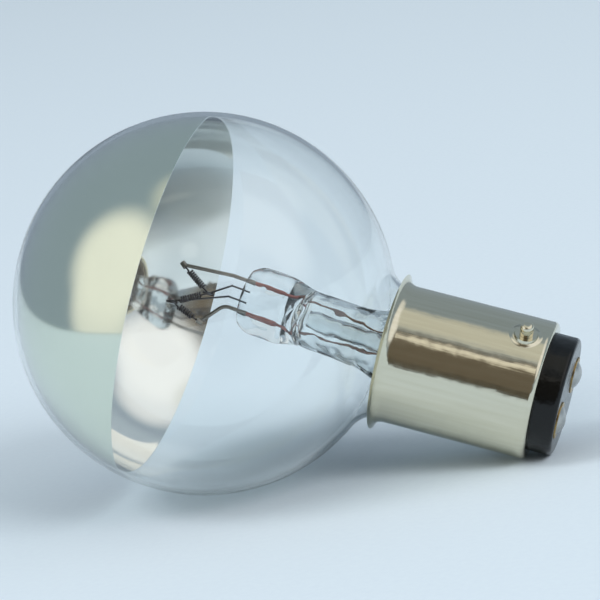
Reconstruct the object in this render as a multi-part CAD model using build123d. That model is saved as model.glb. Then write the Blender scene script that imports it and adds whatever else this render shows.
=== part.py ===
from build123d import *
from math import acos, asin, atan2, cos, degrees, hypot, radians, sin, sqrt
import os

# A crown-silvered globe lamp with a two-pin bayonet cap, lying on its side as it comes to rest.
# Every size is in millimetres. Each piece is built about the lamp's own axis: z is 0 at the
# middle of the globe and rises towards the cap, x points up and y to the near side, as the lamp
# lies. The last section turns the finished lamp on to the floor, which is z = 0 there.

# Clearance between pieces that touch, and the reach of a tool past the piece that it cuts.
snug = 0.03
past = 1.0

# Glass envelope: a sphere, a hollow fillet and a short neck that ends inside the cap.
globe_radius = 30.5
glass_wall = 0.7
neck_fillet = 6.0
neck_length = 5.6

# Mirror layer inside the crown. Its edge is a plane square to the axis.
silver_edge = 5.0
silver_thickness = 0.12

# Cap: a drawn shell with a flared rim and an end lip that is turned in over the insulator. The
# neck stands inside it, with a ring of cement between them.
shell_radius = 11.0
shell_wall = 0.35
shell_length = 25.2
cement_gap = 0.55
rim_spread = 1.5
rim_flare = 1.8
rim_overlap = 2.4
end_lip = 1.25
end_bend = 0.8

# Insulator of black glass, moulded into the end of the shell.
insulator_height = 3.8
insulator_depth = 2.4
insulator_edge = 0.7

# Bayonet pins. Each stands on a small boss, with a thinner tail staked through the shell.
pin_radius = 1.05
pin_tail_radius = 0.8
pin_reach = 2.3
pin_from_end = 3.9
pin_edge = 0.25
pin_head_radius = 1.3
pin_head_height = 0.4
pin_angle = 62.0
boss_radius = 2.0
boss_height = 0.3
boss_slope = 0.25

# Contacts: a brass plate in the insulator's face, a tin bead on it and the hole for the wire.
contact_edge = 1.3
contact_radius = 2.9
contact_thickness = 0.5
contact_proud = 0.15
bead_radius = 2.3
bead_height = 1.0
wire_hole_radius = 0.45

# Stem: a glass tube, flared where it joins the neck and pressed flat at its tip.
stem_radius = 4.6
stem_wall = 0.8
flare_radius = 26.0
flare_setback = 1.2
press_tip = 5.2
press_length = 11.6
press_shoulder = 4.6
press_width = 11.0
press_thickness = 3.6
press_nose = 3.2
press_tip_share = 0.68
mount_angle = 100.0
mount_tilt = 5.0

# Exhaust tube, fused to the press and tipped off inside the cap.
exhaust_radius = 1.5
exhaust_wall = 0.4
exhaust_length = 24.0
exhaust_hole_radius = 0.6

# Wires. The leads leave the press side by side and carry the filament between them.
lead_radius = 0.3
lead_bend = 2.0
seal_radius = 0.22
outer_radius = 0.2
outer_bend = 2.0
support_radius = 0.15
weld_depth = 2.0
lead_spacing = 5.0
support_spacing = 1.8
support_depth = 1.5
support_offset = 1.3
support_eye = 0.85
clamp_radius = 0.45
clamp_length = 1.0

# Filament: three straight coils that zigzag in one plane, from lead to support to support to
# lead. They hang under the leaning stem's axis, so that they lie about the lamp's own axis.
filament_back = 0.2
filament_front = -5.0
filament_top = 1.5
filament_upper_turn = -1.5
filament_lower_turn = -4.7
filament_end = -6.3
filament_wire = 0.13
wire_sides = 6
coil_radius = 0.45
coil_pitch = 0.8
coil_margin = 1.3

# Sizes and places that follow from the ones above.
neck_radius = shell_radius - shell_wall - cement_gap
rim_radius = shell_radius + rim_spread
insulator_radius = shell_radius - shell_wall - end_lip
contact_offset = insulator_radius - contact_edge - contact_radius
fillet_offset = neck_radius + neck_fillet
neck_start = sqrt((globe_radius + neck_fillet) ** 2 - fillet_offset**2)
neck_end = neck_start + neck_length
rim_plane = neck_start - rim_overlap
shell_end = rim_plane + shell_length
insulator_face = shell_end + insulator_height
pin_plane = shell_end - pin_from_end
flare_rim = neck_end - flare_setback
press_top = press_tip + press_length


def around(angle, radius=1.0):
    """Offset from the axis: 0 degrees is the near side and 90 degrees is up."""
    return Vector(radius * sin(radians(angle)), radius * cos(radians(angle)), 0)


def turned(section):
    """A section drawn in the XZ plane, turned into a solid about the lamp's axis."""
    return revolve(Plane.XZ * section, Axis.Z)


def rod(start, end, radius):
    """A straight round wire between two points."""
    run = Vector(*end) - Vector(*start)
    return Plane(origin=Vector(*start), z_dir=run) * Cylinder(
        radius, run.length, align=(Align.CENTER, Align.CENTER, Align.MIN)
    )


def bent_wire(points, radius, bend):
    """A round wire along straight runs that are joined by arcs of one bend radius."""
    path = FilletPolyline(*points, radius=bend)
    return sweep(Plane(path @ 0, z_dir=path % 0) * Circle(radius), path=path)


def envelope(grow, top):
    """The solid shape of the glass outline, grown by a distance and cut off square at the top."""
    radius = globe_radius + grow
    hollow = neck_fillet - grow
    join = degrees(atan2(neck_start, fillet_offset))
    globe = CenterArc((0, 0), radius, -90, 90 + join)
    fillet_arc = CenterArc((fillet_offset, neck_start), hollow, 180, join)
    neck = Line((neck_radius + grow, neck_start), (neck_radius + grow, top))
    lid = Line((neck_radius + grow, top), (0, top))
    axis_line = Line((0, top), (0, -radius))
    return turned(make_face(Curve() + [globe, fillet_arc, neck, lid, axis_line]))


def make_glass_bulb():
    return envelope(0, neck_end) - envelope(-glass_wall, neck_end + past)


def make_silver_bowl():
    """A thin bowl against the inside of the globe, from the crown to the mirror's edge."""
    outside = globe_radius - glass_wall - snug
    ring = Circle(outside) - Circle(outside - silver_thickness)
    crown = Pos(outside / 2, -silver_edge - outside / 2) * Rectangle(outside, outside)
    return turned(ring & crown)


def cap_core(grow, end):
    """The solid shape of the shell's outer surface, grown by a distance, up to the given end."""
    radius = shell_radius + grow
    flare_turn = degrees(acos(1 - (rim_radius - shell_radius) / rim_flare))
    flare_top = rim_plane + (rim_flare + shell_wall) * sin(radians(flare_turn))
    bend = end_bend + grow
    flare = CenterArc(
        (shell_radius + rim_flare, flare_top), rim_flare - grow, 180, flare_turn
    )
    side = Line((radius, flare_top), (radius, end - bend))
    corner = CenterArc((radius - bend, end - bend), bend, 0, 90)
    lid = Line((radius - bend, end), (0, end))
    axis_line = Line((0, end), (0, (flare @ 1).Y))
    mouth = Line((0, (flare @ 1).Y), flare @ 1)
    return turned(make_face(Curve() + [flare, side, corner, lid, axis_line, mouth]))


def pin_place(angle, height):
    """A place at a height over the axis where z points out along a pin."""
    return Plane(origin=around(angle, height) + Vector(0, 0, pin_plane), z_dir=around(angle))


def make_boss(angle):
    """The raised ring that the shell has round each pin."""
    foot = shell_radius - shell_wall
    tall = shell_wall + boss_height
    on_floor = (Align.CENTER, Align.CENTER, Align.MIN)
    return pin_place(angle, foot) * Cone(boss_radius, boss_radius - boss_slope, tall, align=on_floor)


def make_cap_shell():
    """Drawn shell, open at the rim, with a lip round the insulator and a hole for each pin."""
    inside = cap_core(-shell_wall, shell_end - shell_wall)
    shell = cap_core(0, shell_end) - inside
    lip = Cylinder(insulator_radius + snug, 2 * insulator_height)
    shell -= Pos(0, 0, shell_end) * lip
    for angle in (pin_angle, pin_angle + 180):
        shell += make_boss(angle) - inside
        shell -= pin_place(angle, shell_radius) * Cylinder(pin_tail_radius + snug, 2 * pin_reach)
    return shell


def make_pin(angle):
    """A turned pin that stands on its boss. Its thinner tail is staked over inside the shell."""
    foot = shell_radius + boss_height + snug
    inside = shell_radius - shell_wall - snug
    tail_end = inside * cos(asin(pin_head_radius / inside)) - pin_head_height
    on_floor = (Align.CENTER, Align.CENTER, Align.MIN)
    shank = Cylinder(pin_radius, shell_radius + pin_reach - foot, align=on_floor)
    shank = fillet(shank.edges().sort_by(Axis.Z)[-1], pin_edge)
    tail = Cylinder(pin_tail_radius, foot - tail_end, align=on_floor)
    head = Cylinder(pin_head_radius, pin_head_height, align=on_floor)
    return pin_place(angle, 0) * (Pos(0, 0, foot) * shank + Pos(0, 0, tail_end) * (tail + head))


def make_insulator():
    """Black glass body: a wide foot inside the shell and a round nose that stands out of it."""
    foot_radius = shell_radius - shell_wall - snug
    bend_inside = end_bend - shell_wall
    foot = shell_end - insulator_depth
    bend_start = shell_end - end_bend - snug
    shoulder = shell_end - shell_wall - snug
    outline = Polyline(
        (0, foot),
        (foot_radius, foot),
        (foot_radius, bend_start),
        (foot_radius - bend_inside, shoulder),
        (insulator_radius, shoulder),
        (insulator_radius, insulator_face),
        (0, insulator_face),
        (0, foot),
    )
    body = turned(make_face(outline))
    body = fillet(body.edges().group_by(Axis.Z)[-1], insulator_edge)
    for angle in (pin_angle - 90, pin_angle + 90):
        seat = around(angle, contact_offset) + Vector(0, 0, insulator_face)
        depth = 2 * (contact_thickness - contact_proud)
        body -= Pos(seat) * Cylinder(contact_radius + snug, depth)
        body -= Pos(seat) * Cylinder(wire_hole_radius, 3 * (insulator_height + insulator_depth))
    return body


def contact_point(angle, height):
    """A point on the line of one contact, at a height over the insulator's face."""
    return around(angle, contact_offset) + Vector(0, 0, insulator_face + height)


def make_contact(angle):
    """A round brass plate, pressed into the insulator, with a hole for the wire."""
    plate = Cylinder(contact_radius, contact_thickness) - Cylinder(wire_hole_radius, past)
    return Pos(contact_point(angle, contact_proud - contact_thickness / 2)) * plate


def bead_middle():
    """How far under the plate's face the middle of the bead's sphere lies."""
    return (bead_radius**2 - bead_height**2) / (2 * bead_height)


def make_solder(angle):
    """A domed bead of tin over the end of the wire."""
    ball = Sphere(bead_middle() + bead_height)
    under = Pos(0, 0, bead_middle()) * Box(
        4 * ball.radius, 4 * ball.radius, 4 * ball.radius, align=(Align.CENTER, Align.CENTER, Align.MIN)
    )
    bead = ball & under
    socket = Cylinder(outer_radius + snug, 2 * (bead_middle() + bead_height / 2))
    return Pos(contact_point(angle, contact_proud - bead_middle())) * (bead - socket)


def make_cement():
    """The ring of cement that fills the space between the glass neck and the shell."""
    room = cap_core(-shell_wall - snug, shell_end)
    span = Pos(0, 0, rim_plane + rim_flare / 2) * Cylinder(
        rim_radius, neck_end - rim_plane - rim_flare / 2, align=(Align.CENTER, Align.CENTER, Align.MIN)
    )
    return (room & span) - envelope(snug, neck_end + past)


def mount_place():
    """Where the mount stands: square in the neck when made, and sealed in a few degrees askew."""
    lean = Location((0, 0, flare_rim), (0, -mount_tilt, 0)) * Location((0, 0, -flare_rim))
    return Location((0, 0, 0), (0, 0, 90 - mount_angle)) * lean


def stem_tube():
    """Straight tube and the flare that widens to the inside of the neck."""
    rim = neck_radius - glass_wall - snug
    lean = acos(1 - (rim - stem_radius) / flare_radius)
    start = flare_rim - flare_radius * sin(lean)
    centre = (stem_radius + flare_radius, start)
    bore = stem_radius - stem_wall
    near_side = CenterArc(centre, flare_radius, 180, -degrees(lean))
    bore_side = CenterArc(centre, flare_radius + stem_wall, 180, -degrees(lean))
    edges = [
        Line((stem_radius, press_top), (stem_radius, start)),
        near_side,
        Line(near_side @ 1, bore_side @ 1),
        bore_side,
        Line((bore, start), (bore, press_top)),
        Line((bore, press_top), (stem_radius, press_top)),
    ]
    return turned(make_face(Curve() + edges))


def pressed_end():
    """Glass pressed flat round the wires, rounded at its tip and blended into the tube."""
    wide = press_width / 2
    thin = press_thickness / 2
    shoulder = press_top - press_shoulder
    blend = loft(
        [
            Pos(0, 0, press_top) * Ellipse(stem_radius, stem_radius),
            Pos(0, 0, (press_top + shoulder) / 2)
            * Ellipse((stem_radius + wide) / 2, (stem_radius + thin) / 2),
            Pos(0, 0, shoulder) * Ellipse(wide, thin),
        ]
    )
    flat = extrude(
        Pos(0, 0, press_tip + press_nose) * Ellipse(wide, thin), shoulder - press_tip - press_nose
    )
    nose = loft(
        [
            Pos(0, 0, press_tip + press_nose) * Ellipse(wide, thin),
            Pos(0, 0, press_tip) * Ellipse(wide * press_tip_share, thin / 2),
        ]
    )
    return blend + flat + nose


def make_stem():
    """Tube, flare and press in one, with its wire channels and the hole that empties the globe."""
    stem = stem_tube() + pressed_end()
    for side in (-1, 1):
        at = side * lead_spacing / 2
        stem -= rod((at, 0, press_tip - past), (at, 0, press_top + past), lead_radius + snug)
        at = side * support_spacing / 2
        stem -= rod((at, 0, press_tip - past), (at, 0, press_tip + support_depth), support_radius + snug)
    hole_plane = press_top - exhaust_radius
    stem -= rod((0, 0, hole_plane), (0, 0, press_top + past), exhaust_radius - exhaust_wall)
    stem -= rod((0, 0, hole_plane), (0, stem_radius + past, hole_plane), exhaust_hole_radius)
    return stem


def make_exhaust_tube():
    """Thin tube that stands on the press and is melted shut to a round tip inside the cap."""
    bore = exhaust_radius - exhaust_wall
    tip = press_top + exhaust_length
    outside = rod((0, 0, press_top), (0, 0, tip), exhaust_radius) + Pos(0, 0, tip) * Sphere(exhaust_radius)
    inside = rod((0, 0, press_top - past), (0, 0, tip), bore) + Pos(0, 0, tip) * Sphere(bore)
    return outside - inside


def filament_corners():
    """The four points that hold the filament, from the upper lead to the lower one."""
    return [
        Vector(filament_top, 0, filament_front),
        Vector(filament_upper_turn, 0, filament_back),
        Vector(filament_lower_turn, 0, filament_front),
        Vector(filament_end, 0, filament_back),
    ]


def coil_place(start, end):
    """Where the coil between two corners begins, with z along it, and how long it is."""
    run = end - start
    place = Plane(origin=start + run.normalized() * coil_margin, x_dir=(0, 1, 0), z_dir=run)
    return place, run.length - 2 * coil_margin


def coil_ends(start, end):
    """The points where the wire of a coil starts and ends. Both lie on its near side."""
    place, height = coil_place(start, end)
    return place.from_local_coords((coil_radius, 0, 0)), place.from_local_coords((coil_radius, 0, height))


def make_coil(start, end):
    """One straight coil with a whole number of turns. So fine a wire is six-sided here."""
    place, height = coil_place(start, end)
    turns = max(2, round(height / coil_pitch))
    path = Helix(pitch=height / turns, height=height, radius=coil_radius)
    section = Plane(path @ 0, x_dir=(1, 0, 0), z_dir=path % 0) * RegularPolygon(filament_wire, wire_sides)
    return place * sweep(section, path=path, is_frenet=True)


def link(start, end, radius):
    """A straight piece of wire that reaches past both of its ends to meet its neighbours."""
    reach = (end - start).normalized() * radius
    return rod(start - reach, end + reach, radius)


def make_filament():
    """Three coils in one wire: a straight link joins each end of a coil to the corner beside it."""
    corners = filament_corners()
    filament = None
    for start, end in zip(corners, corners[1:]):
        coil = make_coil(start, end)
        for corner, coil_end in zip((start, end), coil_ends(start, end)):
            coil += link(corner, coil_end, filament_wire)
        filament = coil if filament is None else filament + coil
    return filament


def make_lead(side):
    """Stiff wire out of the press that spreads to the filament's end and is crimped round it."""
    corners = filament_corners()[::side]
    tail = (coil_ends(corners[0], corners[1])[0] - corners[0]).normalized()
    at = side * lead_spacing / 2
    points = [(at, 0, press_tip + weld_depth), (at, 0, press_tip - lead_bend), tuple(corners[0])]
    lead = bent_wire(points, lead_radius, lead_bend)
    half_clamp = tail * clamp_length / 2
    lead += rod(corners[0] - half_clamp, corners[0] + half_clamp, clamp_radius)
    reach = filament_wire + snug
    return lead - rod(corners[0] - tail * reach, corners[0] + tail * clamp_length, reach)


def make_support(side):
    """Thin wire out of the press, bent past the coils to a flat eye round the filament's corner."""
    before, corner, after = filament_corners()[::side][:3]
    through = (corner - before).normalized() + (after - corner).normalized()
    at = side * support_spacing / 2
    foot = Vector(at, 0, press_tip + support_depth)
    bend = Vector(at, 0, press_tip - support_spacing)
    knee = corner - Vector(0, support_offset, 0)
    top = corner - Vector(0, support_eye, 0)
    eye = Cylinder(support_eye + support_radius, 2 * support_radius)
    eye -= Cylinder(support_eye - support_radius, past)
    support = Plane(origin=corner, z_dir=through) * eye + rod(knee, top, support_radius)
    support += link(bend, knee, support_radius)
    return support + rod(foot, bend, support_radius)


def make_seal_wire(side):
    """Copper-clad wire in the pressed glass, welded between the inner and the outer lead."""
    at = side * lead_spacing / 2
    return rod((at, 0, press_tip + weld_depth), (at, 0, press_top - weld_depth), seal_radius)


def make_outer_lead(side):
    """Copper wire from the press through the stem and the insulator to the contact."""
    angle = pin_angle + 90 * side
    passing = (exhaust_radius + outer_bend) / 2
    in_mount = [
        Vector(side * lead_spacing / 2, 0, press_top - weld_depth),
        Vector(side * lead_spacing / 2, 0, press_top + weld_depth),
        Vector(side * passing / 2, -side * passing, flare_rim - outer_bend),
    ]
    points = [mount_place() * Pos(point) for point in in_mount]
    points = [place.position for place in points]
    points.append(contact_point(angle, -insulator_height - insulator_depth - outer_bend))
    points.append(contact_point(angle, contact_proud))
    return bent_wire(points, outer_radius, outer_bend)


def tangent_tilt(height, offset, radius):
    """How far the lamp tips before a round edge of its cap touches the floor."""
    reach = asin((globe_radius - radius) / hypot(height, offset))
    return degrees(reach - atan2(offset, height))


def rest_tilt():
    """The lamp rests on its globe and on the first edge of its cap to meet the floor."""
    edges = [
        (shell_end - end_bend, shell_radius - end_bend, end_bend),
        (insulator_face - insulator_edge, insulator_radius - insulator_edge, insulator_edge),
    ]
    return min(tangent_tilt(*edge) for edge in edges)


def build_lamp():
    """Every piece by name, still standing on the lamp's own axis."""
    nodes = {
        "glass_bulb": make_glass_bulb(),
        "silver_bowl": make_silver_bowl(),
        "cap_shell": make_cap_shell(),
        "cement": make_cement(),
        "insulator": make_insulator(),
        "stem": mount_place() * make_stem(),
        "exhaust_tube": mount_place() * make_exhaust_tube(),
        "filament": mount_place() * make_filament(),
    }
    for name, side in (("upper", 1), ("lower", -1)):
        nodes[name + "_lead"] = mount_place() * make_lead(side)
        nodes[name + "_support"] = mount_place() * make_support(side)
        nodes[name + "_seal_wire"] = mount_place() * make_seal_wire(side)
        nodes[name + "_outer_lead"] = make_outer_lead(side)
    for name, angle in (("upper", pin_angle), ("lower", pin_angle + 180)):
        nodes[name + "_pin"] = make_pin(angle)
    for name, angle in (("near", pin_angle - 90), ("far", pin_angle + 90)):
        nodes[name + "_contact"] = make_contact(angle)
        nodes[name + "_solder"] = make_solder(angle)
    return nodes


def lay_down(nodes):
    """The lamp on its side on z = 0, cap towards +X, centred over the origin."""
    turn = Location((0, 0, globe_radius), (0, 90 + rest_tilt(), 0)) * Location((0, 0, 0), (0, 0, 180))
    laid = {name: turn * shape for name, shape in nodes.items()}
    box = Compound(children=[Compound([shape]) for shape in laid.values()]).bounding_box()
    middle = Pos(-box.center().X, -box.center().Y, 0)
    return {name: middle * shape for name, shape in laid.items()}


os.makedirs("parts", exist_ok=True)
for node, shape in lay_down(build_lamp()).items():
    export_step(shape, f"parts/{node}.step")
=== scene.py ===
from math import acos, asin, atan2, copysign, cos, exp, pi, radians, sin, sqrt

import bpy
from mathutils import Matrix, Vector, noise


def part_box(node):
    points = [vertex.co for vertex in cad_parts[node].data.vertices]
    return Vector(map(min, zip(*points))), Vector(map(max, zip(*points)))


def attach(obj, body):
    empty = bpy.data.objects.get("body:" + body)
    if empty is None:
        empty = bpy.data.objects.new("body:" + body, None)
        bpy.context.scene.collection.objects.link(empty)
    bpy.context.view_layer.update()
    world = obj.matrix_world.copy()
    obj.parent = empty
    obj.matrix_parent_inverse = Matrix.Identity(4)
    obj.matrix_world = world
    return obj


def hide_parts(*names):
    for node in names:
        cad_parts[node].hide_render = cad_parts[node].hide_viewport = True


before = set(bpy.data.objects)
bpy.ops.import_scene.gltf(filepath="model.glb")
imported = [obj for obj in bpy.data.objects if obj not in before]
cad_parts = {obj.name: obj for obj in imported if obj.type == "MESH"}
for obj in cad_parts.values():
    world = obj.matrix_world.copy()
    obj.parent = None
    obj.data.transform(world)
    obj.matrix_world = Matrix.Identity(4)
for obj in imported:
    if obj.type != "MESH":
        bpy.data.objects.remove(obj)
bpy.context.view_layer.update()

# STEM. A tube of clear soda-lime glass. One end is flared and melted to the globe's neck. The
# other is pressed flat between two jaws while hot, round the wires that pass through it, which
# leaves a flat blade with a blunt tip, a soft ridge over each wire and a wavy skin.

# Sizes are in millimetres. The lamp's own axes start at the middle of the globe: z runs along
# the lamp to the cap, x points up and y to the near side. The stem, with all the wires that it
# carries, is turned and leans a little in the neck.
mm = 0.001
globe_radius = 30.5
tilt = radians(21.6714)
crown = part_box("glass_bulb")[0].x / mm
globe_middle = Vector((crown + globe_radius, 0, globe_radius))
lamp = Matrix.Scale(mm, 4) @ Matrix((
    (sin(tilt), 0, cos(tilt), globe_middle.x),
    (0, -1, 0, globe_middle.y),
    (cos(tilt), 0, -sin(tilt), globe_middle.z),
    (0, 0, 0, 1),
))
flare_rim = 37.157
mount_turn = radians(-10)
mount_lean = radians(-5)
mount = (
    lamp
    @ Matrix.Rotation(mount_turn, 4, "Z")
    @ Matrix.Translation((0, 0, flare_rim))
    @ Matrix.Rotation(mount_lean, 4, "Y")
    @ Matrix.Translation((0, 0, -flare_rim))
)
crease = radians(50)


def piece(name, points, faces, place, material, slot, *nodes):
    """A smooth mesh from points in millimetres. It rides the lamp and stands for CAD nodes."""
    mesh = bpy.data.meshes.new(name)
    mesh.from_pydata([place @ Vector(p) for p in points], [], faces)
    mesh.polygons.foreach_set("use_smooth", [True] * len(mesh.polygons))
    mesh.set_sharp_from_angle(angle=crease)
    mesh.materials.append(material)
    mesh.update()
    made = bpy.data.objects.new(name, mesh)
    bpy.context.scene.collection.objects.link(made)
    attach(made, "root")
    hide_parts(*nodes)
    return made


def skin(rings, closed):
    """Faces over a row of rings of points. A closed skin joins the last ring to the first one."""
    count = len(rings[0])
    points = [p for ring in rings for p in ring]
    faces = []
    for i in range(len(rings) if closed else len(rings) - 1):
        below, above = i * count, (i + 1) % len(rings) * count
        for j in range(count):
            k = (j + 1) % count
            faces.append((below + j, below + k, above + k, above + j))
    if not closed:
        faces.append(tuple(reversed(range(count))))
        faces.append(tuple(range(len(points) - count, len(points))))
    return points, faces


def linear(colour):
    """An sRGB hex colour as linear red, green, blue and alpha."""
    parts = [int(colour[i : i + 2], 16) / 255 for i in (1, 3, 5)]
    return [c / 12.92 if c <= 0.04045 else ((c + 0.055) / 1.055) ** 2.4 for c in parts] + [1]


def add_node(tree, kind, inputs=None, **settings):
    """Adds a node with its settings. Inputs go by name or number, and hold a value or a socket."""
    made = tree.nodes.new(kind)
    for name, value in settings.items():
        setattr(made, name, value)
    for name, value in (inputs or {}).items():
        if isinstance(value, bpy.types.NodeSocket):
            tree.links.new(value, made.inputs[name])
        else:
            made.inputs[name].default_value = value
    return made


def bare_material(name):
    """A material with an empty node tree, and that tree."""
    material = bpy.data.materials.new(name)
    material.use_nodes = True
    material.node_tree.nodes.clear()
    return material, material.node_tree


# Pressed glass is as clear as the globe, but the jaws leave it wavy, so what shows through it
# breaks up and its edges sparkle. The waves are a few millimetres apart. Rays from the lamps
# pass straight through, so that it throws no solid shadow.
glass_ior = 1.52
wave_spacing = 3.3
wave_depth = 1.2
pressed_glass, tree = bare_material("pressed_clear_glass")
place_of = add_node(tree, "ShaderNodeTexCoord").outputs["Object"]
waves = add_node(tree, "ShaderNodeTexNoise", {
    "Vector": place_of, "Scale": 1 / (wave_spacing * mm), "Detail": 1,
})
bump = add_node(tree, "ShaderNodeBump", {
    "Height": waves.outputs["Fac"], "Strength": 0.5, "Distance": wave_depth * mm,
})
glass = add_node(tree, "ShaderNodeBsdfPrincipled", {
    "Base Color": linear("#FBFEFE"), "Roughness": 0.0, "IOR": glass_ior,
    "Transmission Weight": 1.0, "Normal": bump.outputs["Normal"],
})
lamp_ray = add_node(tree, "ShaderNodeLightPath").outputs["Is Shadow Ray"]
clear = add_node(tree, "ShaderNodeBsdfTransparent", {"Color": linear("#EEF2F2")})
both = add_node(tree, "ShaderNodeMixShader", {
    0: lamp_ray, 1: glass.outputs["BSDF"], 2: clear.outputs["BSDF"],
})
add_node(tree, "ShaderNodeOutputMaterial", {"Surface": both.outputs["Shader"]})

stem_radius = 4.6
stem_wall = 0.8
stem_sides = 128
flare_radius = 26.0
flare_edge = 9.37
flare_steps = 24
press_tip = 5.2
press_flat = 8.4
press_shoulder = 12.2
press_top = 16.8
press_wide = 5.5
press_thin = 1.7
press_power = 0.66
nose_wide = 0.66
nose_thin = 0.5
nose_blunt = 0.3
nose_bunching = 1.6
nose_steps = 20
blade_steps = 8
shoulder_steps = 24
tube_steps = 8
bore_end = 1.6
bore_end_power = 0.5
bore_end_steps = 12
wire_offset = 2.5
ridge_width = 0.6
ridge_share = 0.16
pole_radius = 0.01


def flare_profile(radius):
    """Radius and height along the flare, from the straight tube to the rim."""
    lean = acos(1 - (flare_edge - stem_radius) / flare_radius)
    start = flare_rim - flare_radius * sin(lean)
    turns = [lean * i / flare_steps for i in range(flare_steps + 1)]
    middle = stem_radius + flare_radius
    return [(middle - radius * cos(turn), start + radius * sin(turn)) for turn in turns]


def oval(wide, thin, height, power=1.0):
    """One ring of the stem, square to its axis: an ellipse, or boxier with a power below one."""
    wide, thin = max(wide, pole_radius), max(thin, pole_radius)
    turns = [2 * pi * j / stem_sides for j in range(stem_sides)]
    return [(
        wide * copysign(abs(cos(turn)) ** power, cos(turn)),
        thin * copysign(abs(sin(turn)) ** power, sin(turn)),
        height,
    ) for turn in turns]


def pressed_oval(wide, thin, height):
    """A ring of the pressed blade, with a soft ridge on both sides over each wire."""
    return [
        (x, y * (1 + ridge_share * exp(-(((abs(x) - wire_offset) / ridge_width) ** 2))), z)
        for x, y, z in oval(wide, thin, height, press_power)
    ]


def stem_rings():
    """The stem's outer skin from tip to rim, then its bore from the rim back to the press."""
    rings = []
    for i in range(nose_steps + 1):
        share = (i / nose_steps) ** nose_bunching
        blunt = sqrt(1 - (1 - min(1, share / nose_blunt)) ** 2)
        rings.append(pressed_oval(
            press_wide * (nose_wide + (1 - nose_wide) * sin(share * pi / 2)) * blunt,
            press_thin * (nose_thin + (1 - nose_thin) * share) * blunt,
            press_tip + (press_flat - press_tip) * share,
        ))
    for i in range(1, blade_steps + 1):
        height = press_flat + (press_shoulder - press_flat) * i / blade_steps
        rings.append(pressed_oval(press_wide, press_thin, height))
    for i in range(1, shoulder_steps + 1):
        share = i / shoulder_steps
        ease = share * share * (3 - 2 * share)
        rings.append(oval(
            press_wide + (stem_radius - press_wide) * ease,
            press_thin + (stem_radius - press_thin) * ease,
            press_shoulder + (press_top - press_shoulder) * share,
            press_power + (1 - press_power) * ease,
        ))
    outer = flare_profile(flare_radius)
    flare_start = outer[0][1]
    for i in range(1, tube_steps + 1):
        height = press_top + (flare_start - press_top) * i / tube_steps
        rings.append(oval(stem_radius, stem_radius, height))
    rings += [oval(r, r, z) for r, z in outer[1:]]
    rings += [oval(r, r, z) for r, z in reversed(flare_profile(flare_radius + stem_wall))]
    bore = stem_radius - stem_wall
    for i in range(1, tube_steps + 1):
        rings.append(oval(bore, bore, flare_start + (press_top - flare_start) * i / tube_steps))
    for i in range(1, bore_end_steps + 1):
        turn = i / bore_end_steps * pi / 2
        rings.append(oval(
            bore * cos(turn) ** bore_end_power,
            bore * cos(turn),
            press_top - bore_end * sin(turn),
        ))
    return rings


points, faces = skin(stem_rings(), False)
piece("pressed_stem", points, faces, mount, pressed_glass, "clear_glass", "stem")

# EXHAUST TUBE. A thin glass tube melted to the press inside the stem. The globe is emptied
# through it, and it is then tipped off with a flame, which leaves a round end hidden in the cap.
tube_radius = 1.5
tube_wall = 0.4
weld_gap = 0.05
tube_start = press_top + weld_gap
tube_tip = 40.8
tube_sides = 48
shaft_steps = 20
dome_steps = 12


def lathe(outline, sides):
    """Rings round the axis, from an outline of radii and heights."""
    turns = [2 * pi * j / sides for j in range(sides)]
    return [[(r * cos(turn), r * sin(turn), z) for turn in turns] for r, z in outline]


bore = tube_radius - tube_wall
shaft = [tube_start + (tube_tip - tube_start) * i / shaft_steps for i in range(shaft_steps + 1)]
quarter = [i / dome_steps * pi / 2 for i in range(dome_steps + 1)]
tube_outline = [(tube_radius, height) for height in shaft]
tube_outline += [
    (max(tube_radius * cos(turn), pole_radius), tube_tip + tube_radius * sin(turn))
    for turn in quarter[1:]
]
tube_outline += [
    (max(bore * sin(turn), pole_radius), tube_tip + bore * cos(turn)) for turn in quarter
]
tube_outline += [(bore, height) for height in reversed(shaft[:-1])]
points, faces = skin(lathe(tube_outline, tube_sides), True)
piece("exhaust_tube_glass", points, faces, mount, pressed_glass, "clear_glass", "exhaust_tube")

# WIRES. Drawn wires of four metals: nickel leads that carry the filament, copper-clad wires that
# seal to the pressed glass, and copper wires to the contacts, butt-welded in one line, and two
# fine molybdenum supports with their feet in the press.

# Nickel is grey and fairly bright, the copper cladding turns rosy red under the glass, bare
# copper is browned by the heat, and molybdenum is dark grey. The heat stains them in patches of
# about a wire's width, which break up their shine. Inputs 6 and 7 of a Mix node are its colours,
# and its output 2 is their blend.
stain_spacing = 1.1
stain_dark = 0.6
for nodes, name, colour, roughness in (
    (("upper_lead", "lower_lead"), "drawn_nickel_wire", "#A9A39A", 0.28),
    (("upper_seal_wire", "lower_seal_wire"), "copper_clad_wire", "#D98478", 0.45),
    (("upper_outer_lead", "lower_outer_lead"), "bare_copper_wire", "#8A5A48", 0.4),
    (("upper_support", "lower_support"), "molybdenum_wire", "#77767A", 0.35),
):
    metal, tree = bare_material(name)
    place_of = add_node(tree, "ShaderNodeTexCoord").outputs["Object"]
    stain = add_node(tree, "ShaderNodeTexNoise", {
        "Vector": place_of, "Scale": 1 / (stain_spacing * mm), "Detail": 3,
    })
    dark = [c * stain_dark for c in linear(colour)[:3]] + [1]
    tone = add_node(tree, "ShaderNodeMix", {
        0: stain.outputs["Fac"], 6: dark, 7: linear(colour),
    }, data_type="RGBA")
    shader = add_node(tree, "ShaderNodeBsdfPrincipled", {
        "Base Color": tone.outputs[2], "Metallic": 1.0, "Roughness": roughness,
    })
    add_node(tree, "ShaderNodeOutputMaterial", {"Surface": shader.outputs["BSDF"]})
    for node in nodes:
        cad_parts[node].data.materials[0] = metal

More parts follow.
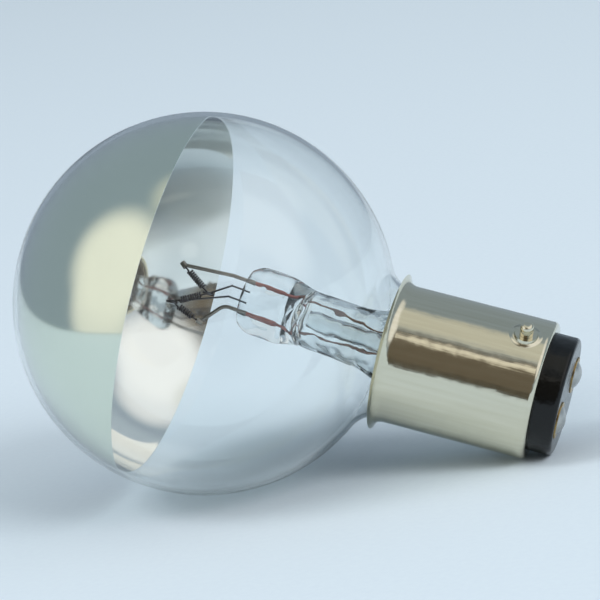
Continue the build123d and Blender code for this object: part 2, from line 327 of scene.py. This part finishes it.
# FILAMENT. Drawn tungsten wire, wound into a fine coil and hung in three straight runs. Its two
# ends are crimped in the leads, and its corners go through the eyes of the supports.
filament_corners = [(1.5, 0, -5.0), (-1.5, 0, 0.2), (-4.7, 0, -5.0), (-6.3, 0, 0.2)]
wire_radius = 0.14
filament_sides = 12
coil_radius = 0.44
coil_pitch = 0.4
coil_margin = 1.3
coil_steps = 24


def coil_line():
    """The middle line of the whole filament, from one lead to the other."""
    line = []
    for start, end in zip(filament_corners, filament_corners[1:]):
        start, end = Vector(start), Vector(end)
        run = (end - start).normalized()
        near = Vector((0, 1, 0))
        far = run.cross(near)
        length = (end - start).length - 2 * coil_margin
        steps = round(length / coil_pitch) * coil_steps
        line.append(start)
        for i in range(steps + 1):
            turn = 2 * pi * i / coil_steps
            middle = start + run * (coil_margin + length * i / steps)
            line.append(middle + (near * cos(turn) + far * sin(turn)) * coil_radius)
    line.append(Vector(filament_corners[-1]))
    return line


def wire_rings(line):
    """Rings of a round wire along a line of points, turned as little as the line allows."""
    turns = [2 * pi * j / filament_sides for j in range(filament_sides)]
    last = len(line) - 1
    side = (line[1] - line[0]).orthogonal()
    rings = []
    for i, point in enumerate(line):
        heading = (line[min(i + 1, last)] - line[max(i - 1, 0)]).normalized()
        side = (side - heading * side.dot(heading)).normalized()
        over = heading.cross(side)
        rings.append([
            point + (side * cos(turn) + over * sin(turn)) * wire_radius for turn in turns
        ])
    return rings


# Tungsten drawn through dies is dark grey with a dull shine. Its die lines are far too fine to
# show, so they are drawn as a blotchy tone half a millimetre across.
blotch_spacing = 0.45
tungsten, tree = bare_material("drawn_tungsten")
place_of = add_node(tree, "ShaderNodeTexCoord").outputs["Object"]
blotches = add_node(tree, "ShaderNodeTexNoise", {
    "Vector": place_of, "Scale": 1 / (blotch_spacing * mm), "Detail": 3,
})
tone = add_node(tree, "ShaderNodeMix", {
    0: blotches.outputs["Fac"], 6: linear("#2E2E33"), 7: linear("#6E6E74"),
}, data_type="RGBA")
shader = add_node(tree, "ShaderNodeBsdfPrincipled", {
    "Base Color": tone.outputs[2], "Metallic": 1.0, "Roughness": 0.38,
})
add_node(tree, "ShaderNodeOutputMaterial", {"Surface": shader.outputs["BSDF"]})
points, faces = skin(wire_rings(coil_line()), False)
piece("filament_coils", points, faces, mount, tungsten, "tungsten", "filament")

# GLOBE. Clear soda-lime glass, 0.7 mm thick, blown in a mould to a sphere with a short neck. The
# neck is melted to the stem's flare, and it goes down into the cap, where it is cemented.

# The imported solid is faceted, so its box is a hair smaller than a true sphere, and the glass is
# drawn that much smaller too.
glass_wall = 0.7
neck_radius = 10.1
neck_fillet = 6.0
neck_end = 38.357
neck_start = sqrt((globe_radius + neck_fillet) ** 2 - (neck_radius + neck_fillet) ** 2)
globe_sides = 224
crown_steps = 96
fillet_steps = 24
neck_steps = 6
flat_shortfall = 0.015


def glass_outline(grow):
    """Radius and height from the crown to the end of the neck, moved out by a distance."""
    radius = globe_radius + grow
    hollow = neck_fillet - grow
    middle = neck_radius + neck_fillet
    join = atan2(neck_start, middle)
    line = []
    for i in range(crown_steps + 1):
        turn = (pi / 2 + join) * i / crown_steps - pi / 2
        line.append((max(radius * cos(turn), pole_radius), radius * sin(turn)))
    for i in range(1, fillet_steps + 1):
        turn = join * (1 - i / fillet_steps)
        line.append((middle - hollow * cos(turn), neck_start - hollow * sin(turn)))
    for i in range(1, neck_steps + 1):
        height = neck_start + (neck_end - neck_start) * i / neck_steps
        line.append((neck_radius + grow, height))
    return line


# Blown glass is clear and very even, with slow waves a finger's breadth apart that only bend a
# reflection a little. Rays from the lamps pass straight through it too.
swell_spacing = 17
swell_depth = 1.0
blown_glass, tree = bare_material("blown_clear_glass")
place_of = add_node(tree, "ShaderNodeTexCoord").outputs["Object"]
swells = add_node(tree, "ShaderNodeTexNoise", {
    "Vector": place_of, "Scale": 1 / (swell_spacing * mm), "Detail": 1,
})
bump = add_node(tree, "ShaderNodeBump", {
    "Height": swells.outputs["Fac"], "Strength": 0.05, "Distance": swell_depth * mm,
})
glass = add_node(tree, "ShaderNodeBsdfPrincipled", {
    "Base Color": linear("#FCFEFE"), "Roughness": 0.0, "IOR": glass_ior,
    "Transmission Weight": 1.0, "Normal": bump.outputs["Normal"],
})
lamp_ray = add_node(tree, "ShaderNodeLightPath").outputs["Is Shadow Ray"]
clear = add_node(tree, "ShaderNodeBsdfTransparent", {"Color": linear("#F2F5F5")})
both = add_node(tree, "ShaderNodeMixShader", {
    0: lamp_ray, 1: glass.outputs["BSDF"], 2: clear.outputs["BSDF"],
})
add_node(tree, "ShaderNodeOutputMaterial", {"Surface": both.outputs["Shader"]})
globe_outline = glass_outline(-flat_shortfall) + glass_outline(-glass_wall)[::-1]
points, faces = skin(lathe(globe_outline, globe_sides), True)
piece("globe_glass", points, faces, lamp, blown_glass, "clear_glass", "glass_bulb")

# SILVER BOWL. A layer of silver laid from vapour on the inside of the crown, with a sharp edge
# where the mask stood. Its inner face is a bare bright mirror. Its outer face is seen through the
# glass, where the backing of the layer tones it cream.
silver_edge = 5.0
silver_radius = 29.77
silver_thickness = 0.12
silver_sides = 256


def silver_outline(radius):
    """Radius and height from the crown to the silver's edge."""
    reach = asin(silver_edge / radius)
    turns = [(pi / 2 - reach) * i / crown_steps - pi / 2 for i in range(crown_steps + 1)]
    return [(max(radius * cos(turn), pole_radius), radius * sin(turn)) for turn in turns]


# Silver laid from vapour mirrors the room almost as it is. A faint haze in soft clouds softens it.
cloud_spacing = 22
silver, tree = bare_material("vapour_laid_silver")
place_of = add_node(tree, "ShaderNodeTexCoord").outputs["Object"]
clouds = add_node(tree, "ShaderNodeTexNoise", {
    "Vector": place_of, "Scale": 1 / (cloud_spacing * mm), "Detail": 3,
})
haze = add_node(tree, "ShaderNodeMapRange", {
    "Value": clouds.outputs["Fac"], "To Min": 0.02, "To Max": 0.09,
})
shader = add_node(tree, "ShaderNodeBsdfPrincipled", {
    "Base Color": linear("#F6F5EF"), "Metallic": 1.0, "Roughness": haze.outputs["Result"],
})
add_node(tree, "ShaderNodeOutputMaterial", {"Surface": shader.outputs["BSDF"]})

# The same silver from behind is a little duller, and cream to pale green in the same clouds.
toned, tree = bare_material("silver_toned_by_its_backing")
place_of = add_node(tree, "ShaderNodeTexCoord").outputs["Object"]
clouds = add_node(tree, "ShaderNodeTexNoise", {
    "Vector": place_of, "Scale": 1 / (cloud_spacing * mm), "Detail": 3,
})
tone = add_node(tree, "ShaderNodeMix", {
    0: clouds.outputs["Fac"], 6: linear("#DCE2D2"), 7: linear("#EAEEDF"),
}, data_type="RGBA")
shader = add_node(tree, "ShaderNodeBsdfPrincipled", {
    "Base Color": tone.outputs[2], "Metallic": 1.0, "Roughness": 0.1,
})
add_node(tree, "ShaderNodeOutputMaterial", {"Surface": shader.outputs["BSDF"]})

bowl_outline = silver_outline(silver_radius)
bowl_outline += silver_outline(silver_radius - silver_thickness)[::-1]
points, faces = skin(lathe(bowl_outline, silver_sides), True)
bowl = piece("silver_layer", points, faces, lamp, silver, "silver", "silver_bowl")
bowl.data.materials.append(toned)
outside_faces = crown_steps * silver_sides
for polygon in bowl.data.polygons[:outside_faces]:
    polygon.material_index = 1

# CEMENT. A ring of basing cement, a resin filled with marble dust. It fills the space between
# the neck and the cap, and is set hard by heating the cap.

# Baked cement is dull and tan, with a sandy grain. The dust is finer than a tenth of a
# millimetre, which is too fine to show, so the grain is drawn 0.4 mm across.
grain_spacing = 0.4
grain_depth = 0.2
cement, tree = bare_material("basing_cement")
place_of = add_node(tree, "ShaderNodeTexCoord").outputs["Object"]
grain = add_node(tree, "ShaderNodeTexNoise", {
    "Vector": place_of, "Scale": 1 / (grain_spacing * mm), "Detail": 4,
})
bump = add_node(tree, "ShaderNodeBump", {
    "Height": grain.outputs["Fac"], "Strength": 0.5, "Distance": grain_depth * mm,
})
tone = add_node(tree, "ShaderNodeMix", {
    0: grain.outputs["Fac"], 6: linear("#9E8D70"), 7: linear("#CDBFA2"),
}, data_type="RGBA")
shader = add_node(tree, "ShaderNodeBsdfPrincipled", {
    "Base Color": tone.outputs[2], "Roughness": 0.9, "Normal": bump.outputs["Normal"],
})
add_node(tree, "ShaderNodeOutputMaterial", {"Surface": shader.outputs["BSDF"]})
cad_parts["cement"].data.materials[0] = cement

# CAP. A thin shell drawn from brass, with a flared rim and a flat boss stamped round each pin.
# It is plated with bright nickel, pushed over the neck and held there by the cement.

# Bright nickel is a warm mirror. Drawing leaves it with faint streaks along the shell and
# shallow dents a few millimetres apart, which ruffle the edges of what it reflects, and handling
# dulls it in specks. Real drawing lines are near 0.05 mm wide, so they are drawn at 0.7 mm.
streak_length = 14
streak_width = 0.7
streak_depth = 0.3
dent_spacing = 3.8
dent_depth = 1.0
wear_spacing = 1.1
boss_inner = 1.9
boss_outer = 2.8
boss_step = 0.3
nickel, tree = bare_material("bright_nickel_plate")
place_of = add_node(tree, "ShaderNodeTexCoord").outputs["Object"]
along_axis = add_node(tree, "ShaderNodeVectorRotate", {
    "Vector": place_of, "Angle": -tilt,
}, rotation_type="Y_AXIS")
drawn = add_node(tree, "ShaderNodeMapping", {
    "Vector": along_axis.outputs["Vector"],
    "Scale": [1 / (size * mm) for size in (streak_length, streak_width, streak_width)],
})
streaks = add_node(tree, "ShaderNodeTexNoise", {
    "Vector": drawn.outputs["Vector"], "Scale": 1, "Detail": 3,
})
dents = add_node(tree, "ShaderNodeTexNoise", {
    "Vector": place_of, "Scale": 1 / (dent_spacing * mm), "Detail": 2,
})
dented = add_node(tree, "ShaderNodeBump", {
    "Height": dents.outputs["Fac"], "Strength": 0.08, "Distance": dent_depth * mm,
})
streaked = add_node(tree, "ShaderNodeBump", {
    "Height": streaks.outputs["Fac"], "Strength": 0.05, "Distance": streak_depth * mm,
    "Normal": dented.outputs["Normal"],
})
to_pins = []
for node in ("upper_pin", "lower_pin"):
    pin_low, pin_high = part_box(node)
    to_pins.append(add_node(tree, "ShaderNodeVectorMath", {
        0: place_of, 1: (pin_low + pin_high) / 2,
    }, operation="DISTANCE"))
to_pin = add_node(tree, "ShaderNodeMath", {
    0: to_pins[0].outputs["Value"], 1: to_pins[1].outputs["Value"],
}, operation="MINIMUM")
stamped = add_node(tree, "ShaderNodeMapRange", {
    "Value": to_pin.outputs["Value"],
    "From Min": boss_outer * mm, "From Max": boss_inner * mm,
}, interpolation_type="SMOOTHSTEP")
bump = add_node(tree, "ShaderNodeBump", {
    "Height": stamped.outputs["Result"], "Strength": 1.0, "Distance": boss_step * mm,
    "Normal": streaked.outputs["Normal"],
})
wear = add_node(tree, "ShaderNodeTexNoise", {
    "Vector": place_of, "Scale": 1 / (wear_spacing * mm), "Detail": 4,
})
haze = add_node(tree, "ShaderNodeMapRange", {
    "Value": wear.outputs["Fac"], "To Min": 0.07, "To Max": 0.17,
})
tone = add_node(tree, "ShaderNodeMix", {
    0: streaks.outputs["Fac"], 6: linear("#CFC9B2"), 7: linear("#E2DECB"),
}, data_type="RGBA")
shader = add_node(tree, "ShaderNodeBsdfPrincipled", {
    "Base Color": tone.outputs[2], "Metallic": 1.0, "Roughness": haze.outputs["Result"],
    "Normal": bump.outputs["Normal"],
})
add_node(tree, "ShaderNodeOutputMaterial", {"Surface": shader.outputs["BSDF"]})
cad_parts["cap_shell"].data.materials[0] = nickel

# PINS. Two turned brass pins, staked through the shell from inside and plated with it, so they
# share its nickel. They lock the cap in its holder, and their outer ends are rounded over. Their
# heights are measured out from the lamp's axis.
pin_plane = 51.657
pin_angle = 28
pin_sides = 48
pin_steps = 8
head_radius = 1.3
head_edge = 0.1
head_inside = 10.14
head_outside = 10.54
tail_radius = 0.8
boss_face = 11.33
pin_radius = 1.05
pin_rounding = 0.6
pin_top = 13.3
pin_outline = [
    (pole_radius, head_inside), (head_radius - head_edge, head_inside),
    (head_radius, head_inside + head_edge), (head_radius, head_outside),
    (tail_radius, head_outside), (tail_radius, boss_face), (pin_radius, boss_face),
]
for i in range(pin_steps + 1):
    turn = i / pin_steps * pi / 2
    pin_outline.append((
        pin_radius - pin_rounding * (1 - cos(turn)), pin_top - pin_rounding * (1 - sin(turn))
    ))
pin_outline.append((pole_radius, pin_top))
for node, angle in (("upper_pin", pin_angle), ("lower_pin", pin_angle + 180)):
    points, faces = skin(lathe(pin_outline, pin_sides), True)
    pin_place = (
        lamp
        @ Matrix.Rotation(radians(angle), 4, "Z")
        @ Matrix.Translation((0, 0, pin_plane))
        @ Matrix.Rotation(radians(90), 4, "Y")
    )
    piece("bayonet_" + node, points, faces, pin_place, nickel, "nickel_plate", node)

# INSULATOR. A thick disc of black glass, moulded hot into the end of the shell, which holds it
# by a foot behind its lip. It keeps the two contacts apart.

# Black glass is glossy and almost without colour. The mould leaves it slightly rippled, and
# dust takes the shine off it in specks. Real dust is too fine to show and is drawn 0.55 mm across.
ripple_spacing = 2.0
ripple_depth = 1.0
dust_spacing = 0.55
black_glass, tree = bare_material("black_moulded_glass")
place_of = add_node(tree, "ShaderNodeTexCoord").outputs["Object"]
ripple = add_node(tree, "ShaderNodeTexNoise", {
    "Vector": place_of, "Scale": 1 / (ripple_spacing * mm), "Detail": 2,
})
bump = add_node(tree, "ShaderNodeBump", {
    "Height": ripple.outputs["Fac"], "Strength": 0.12, "Distance": ripple_depth * mm,
})
dust = add_node(tree, "ShaderNodeTexNoise", {
    "Vector": place_of, "Scale": 1 / (dust_spacing * mm), "Detail": 4,
})
haze = add_node(tree, "ShaderNodeMapRange", {
    "Value": dust.outputs["Fac"], "To Min": 0.08, "To Max": 0.3,
})
shader = add_node(tree, "ShaderNodeBsdfPrincipled", {
    "Base Color": linear("#070808"), "Roughness": haze.outputs["Result"], "IOR": 1.5,
    "Specular IOR Level": 0.35, "Normal": bump.outputs["Normal"],
})
add_node(tree, "ShaderNodeOutputMaterial", {"Surface": shader.outputs["BSDF"]})
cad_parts["insulator"].data.materials[0] = black_glass

# CONTACTS. Two round plates stamped from brass and pressed into the insulator's face. A bead of
# tin solder on each holds the end of an outer lead, and takes the spring of the holder.

# Stamped brass is yellow and half bright, and tarnishes in small brown spots.
tarnish_spacing = 0.8
brass, tree = bare_material("stamped_brass")
place_of = add_node(tree, "ShaderNodeTexCoord").outputs["Object"]
tarnish = add_node(tree, "ShaderNodeTexNoise", {
    "Vector": place_of, "Scale": 1 / (tarnish_spacing * mm), "Detail": 4,
})
tone = add_node(tree, "ShaderNodeMix", {
    0: tarnish.outputs["Fac"], 6: linear("#9A7A42"), 7: linear("#D8BC80"),
}, data_type="RGBA")
shader = add_node(tree, "ShaderNodeBsdfPrincipled", {
    "Base Color": tone.outputs[2], "Metallic": 1.0, "Roughness": 0.32,
})
add_node(tree, "ShaderNodeOutputMaterial", {"Surface": shader.outputs["BSDF"]})

# Tin solder sets to a soft grey shine, frosted where its grains meet and smooth between them.
frost_spacing = 0.7
frost_depth = 0.3
tin, tree = bare_material("tin_solder")
place_of = add_node(tree, "ShaderNodeTexCoord").outputs["Object"]
frost = add_node(tree, "ShaderNodeTexNoise", {
    "Vector": place_of, "Scale": 1 / (frost_spacing * mm), "Detail": 3,
})
bump = add_node(tree, "ShaderNodeBump", {
    "Height": frost.outputs["Fac"], "Strength": 0.25, "Distance": frost_depth * mm,
})
haze = add_node(tree, "ShaderNodeMapRange", {
    "Value": frost.outputs["Fac"], "To Min": 0.18, "To Max": 0.45,
})
shader = add_node(tree, "ShaderNodeBsdfPrincipled", {
    "Base Color": linear("#BDBDBA"), "Metallic": 1.0, "Roughness": haze.outputs["Result"],
    "Normal": bump.outputs["Normal"],
})
add_node(tree, "ShaderNodeOutputMaterial", {"Surface": shader.outputs["BSDF"]})

contact_offset = 5.2
plate_face = 59.507
bead_radius = 2.3
bead_height = 1.0
bead_sides = 64
bead_steps = 20
lump_share = 0.08
lump_spacing = 1.1
ball_radius = (bead_radius ** 2 + bead_height ** 2) / (2 * bead_height)
bead_reach = asin(bead_radius / ball_radius)
bead_outline = [(pole_radius, 0)]
for i in range(bead_steps + 1):
    turn = bead_reach * (1 - i / bead_steps)
    bead_outline.append((
        max(ball_radius * sin(turn), pole_radius), ball_radius * (cos(turn) - cos(bead_reach))
    ))
for side, angle in (("near", pin_angle + 90), ("far", pin_angle - 90)):
    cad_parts[side + "_contact"].data.materials[0] = brass
    points, faces = skin(lathe(bead_outline, bead_sides), True)
    lumpy = []
    for point in map(Vector, points):
        lump = 0.5 + 0.5 * noise.noise(point / lump_spacing + Vector((angle, 0, 0)))
        lumpy.append(point * (1 - lump_share * lump))
    bead_place = lamp @ Matrix.Translation((
        contact_offset * cos(radians(angle)), contact_offset * sin(radians(angle)), plate_face
    ))
    piece(side + "_tin_bead", lumpy, faces, bead_place, tin, "tin_solder", side + "_solder")

# FLOOR. A sheet of pale blue-grey studio paper under the lamp, wide enough to reach past what
# the camera sees. It isn't part of the lamp.

# Paper is matt and even. Its fibres are near 0.1 mm, so they are drawn as faint flecks of 1.1 mm.
floor_reach = 4.0
fleck_spacing = 1.1
corners = [(-1, -1), (1, -1), (1, 1), (-1, 1)]
floor_mesh = bpy.data.meshes.new("studio_paper")
floor_mesh.from_pydata(
    [(x * floor_reach, y * floor_reach, 0) for x, y in corners], [], [(0, 1, 2, 3)]
)
paper, tree = bare_material("pale_studio_paper")
place_of = add_node(tree, "ShaderNodeTexCoord").outputs["Object"]
flecks = add_node(tree, "ShaderNodeTexNoise", {
    "Vector": place_of, "Scale": 1 / (fleck_spacing * mm), "Detail": 3,
})
tone = add_node(tree, "ShaderNodeMix", {
    0: flecks.outputs["Fac"], 6: linear("#D2DFEA"), 7: linear("#D8E5EE"),
}, data_type="RGBA")
shader = add_node(tree, "ShaderNodeBsdfPrincipled", {
    "Base Color": tone.outputs[2], "Roughness": 0.8, "Specular IOR Level": 0.2,
})
add_node(tree, "ShaderNodeOutputMaterial", {"Surface": shader.outputs["BSDF"]})
floor_mesh.materials.append(paper)
floor = bpy.data.objects.new("studio_paper", floor_mesh)
bpy.context.scene.collection.objects.link(floor)

# LIGHT. A pale room with large soft boxes on the left, on the right and overhead, and a dim near
# side. Their soft edges show in the silver, the plate and the glass. Two lamps throw soft shadows.
world = bpy.data.worlds.new("studio_room")
bpy.context.scene.world = world
world.use_nodes = True
tree = world.node_tree
tree.nodes.clear()
direction = add_node(tree, "ShaderNodeTexCoord").outputs["Generated"]


def towards(azimuth, elevation):
    """A direction. Azimuth 0 is on the near side and 90 is on the cap's side."""
    azimuth, elevation = radians(azimuth), radians(elevation)
    return (sin(azimuth) * cos(elevation), -cos(azimuth) * cos(elevation), sin(elevation))


# Each soft area has its direction, the angles of its even core and of its outer edge, its
# colour, and how much of the room's own tone it covers there. All angles are in degrees.
tone = linear("#93A2AF")
for azimuth, elevation, core, edge, colour, cover in (
    (6, 26, 17, 40, "#6E665A", 1.0),  # the dim near side
    (0, 2, 2, 12, "#4A463C", 0.8),  # its darkest part, low down
    (-44, 35, 15, 38, "#FFFCF4", 1.0),  # the left box
    (-50, 8, 8, 27, "#FFFCF4", 0.85),  # the left box's lower part
    (64, 36, 15, 38, "#FFFFFF", 1.0),  # the right box
    (98, 50, 8, 26, "#FFFFFF", 0.8),  # the right box's upper part
    (40, 77, 8, 27, "#DCDCD2", 0.9),  # the box overhead
    (14, 44, 1, 7, "#FFFAEE", 0.95),  # a slit of light that draws the streak along the cap
):
    facing = add_node(tree, "ShaderNodeVectorMath", {
        0: direction, 1: towards(azimuth, elevation),
    }, operation="DOT_PRODUCT")
    share = add_node(tree, "ShaderNodeMapRange", {
        "Value": facing.outputs["Value"], "To Max": cover,
        "From Min": cos(radians(edge)), "From Max": cos(radians(core)),
    }, interpolation_type="SMOOTHERSTEP")
    tone = add_node(tree, "ShaderNodeMix", {
        0: share.outputs["Result"], 6: tone, 7: linear(colour),
    }, data_type="RGBA").outputs[2]
room = add_node(tree, "ShaderNodeBackground", {"Color": tone, "Strength": 1.0})

# Seen straight on or through clear glass, before any reflection, the room is a plain backdrop.
# A ray that has bounced counts one or more, so half a bounce tells the two apart.
path = add_node(tree, "ShaderNodeLightPath")
bounces = add_node(tree, "ShaderNodeMath", {
    0: path.outputs["Glossy Depth"], 1: path.outputs["Diffuse Depth"],
}, operation="ADD")
half_bounce = 0.5
unbounced = add_node(tree, "ShaderNodeMath", {
    0: bounces.outputs["Value"], 1: half_bounce,
}, operation="LESS_THAN")
backdrop = add_node(tree, "ShaderNodeBackground", {"Color": linear("#D3DEE6"), "Strength": 1.0})
both = add_node(tree, "ShaderNodeMixShader", {
    0: unbounced.outputs["Value"], 1: room.outputs["Background"],
    2: backdrop.outputs["Background"],
})
add_node(tree, "ShaderNodeOutputWorld", {"Surface": both.outputs["Shader"]})

# The lamps are only for light and shadow: the room's areas stand for them in a reflection.
# Their places and sizes are in metres, and their power in watts.
for name, place, size, power in (
    ("upper_left_box", (-1.4, -0.7, 2.0), 0.9, 18.5),
    ("right_box", (1.5, -1.1, 1.4), 1.0, 24.0),
):
    lamp_data = bpy.data.lights.new(name, "AREA")
    lamp_data.size = size
    lamp_data.energy = power
    box = bpy.data.objects.new(name, lamp_data)
    box.location = place
    box.visible_glossy = False
    box.visible_transmission = False
    box.rotation_mode = "QUATERNION"
    box.rotation_quaternion = Vector(place).to_track_quat("Z", "Y")
    bpy.context.scene.collection.objects.link(box)

# CAMERA. A long lens half a metre away, a little above the lamp and rolled to one side. It is
# placed by the pixel of the picture where the middle of the globe has to show.
camera_azimuth = 16.15
camera_elevation = 11.61
camera_roll = radians(-10.4)
camera_distance = 477.2
picture_middle = 300
globe_pixel = (205, 303.5)
lens = 180
sensor = 36
pixels_per_slope = 2 * picture_middle * lens / sensor
back = Vector(towards(camera_azimuth, camera_elevation))
level = Vector((cos(radians(camera_azimuth)), sin(radians(camera_azimuth)), 0))
raised = back.cross(level)
right = level * cos(camera_roll) + raised * sin(camera_roll)
up = raised * cos(camera_roll) - level * sin(camera_roll)
shift_right = (picture_middle - globe_pixel[0]) / pixels_per_slope * camera_distance
shift_up = (globe_pixel[1] - picture_middle) / pixels_per_slope * camera_distance
eye = globe_middle + back * camera_distance + right * shift_right + up * shift_up
camera = bpy.data.objects.new("camera", bpy.data.cameras.new("camera"))
camera.data.lens = lens
camera.data.sensor_width = sensor
camera.data.clip_start = 0.01
camera.data.clip_end = 50
camera.matrix_world = Matrix((
    (right.x, up.x, back.x, eye.x * mm),
    (right.y, up.y, back.y, eye.y * mm),
    (right.z, up.z, back.z, eye.z * mm),
    (0, 0, 0, 1),
))
bpy.context.scene.collection.objects.link(camera)
bpy.context.scene.camera = camera
bpy.context.scene.view_settings.view_transform = "Standard"
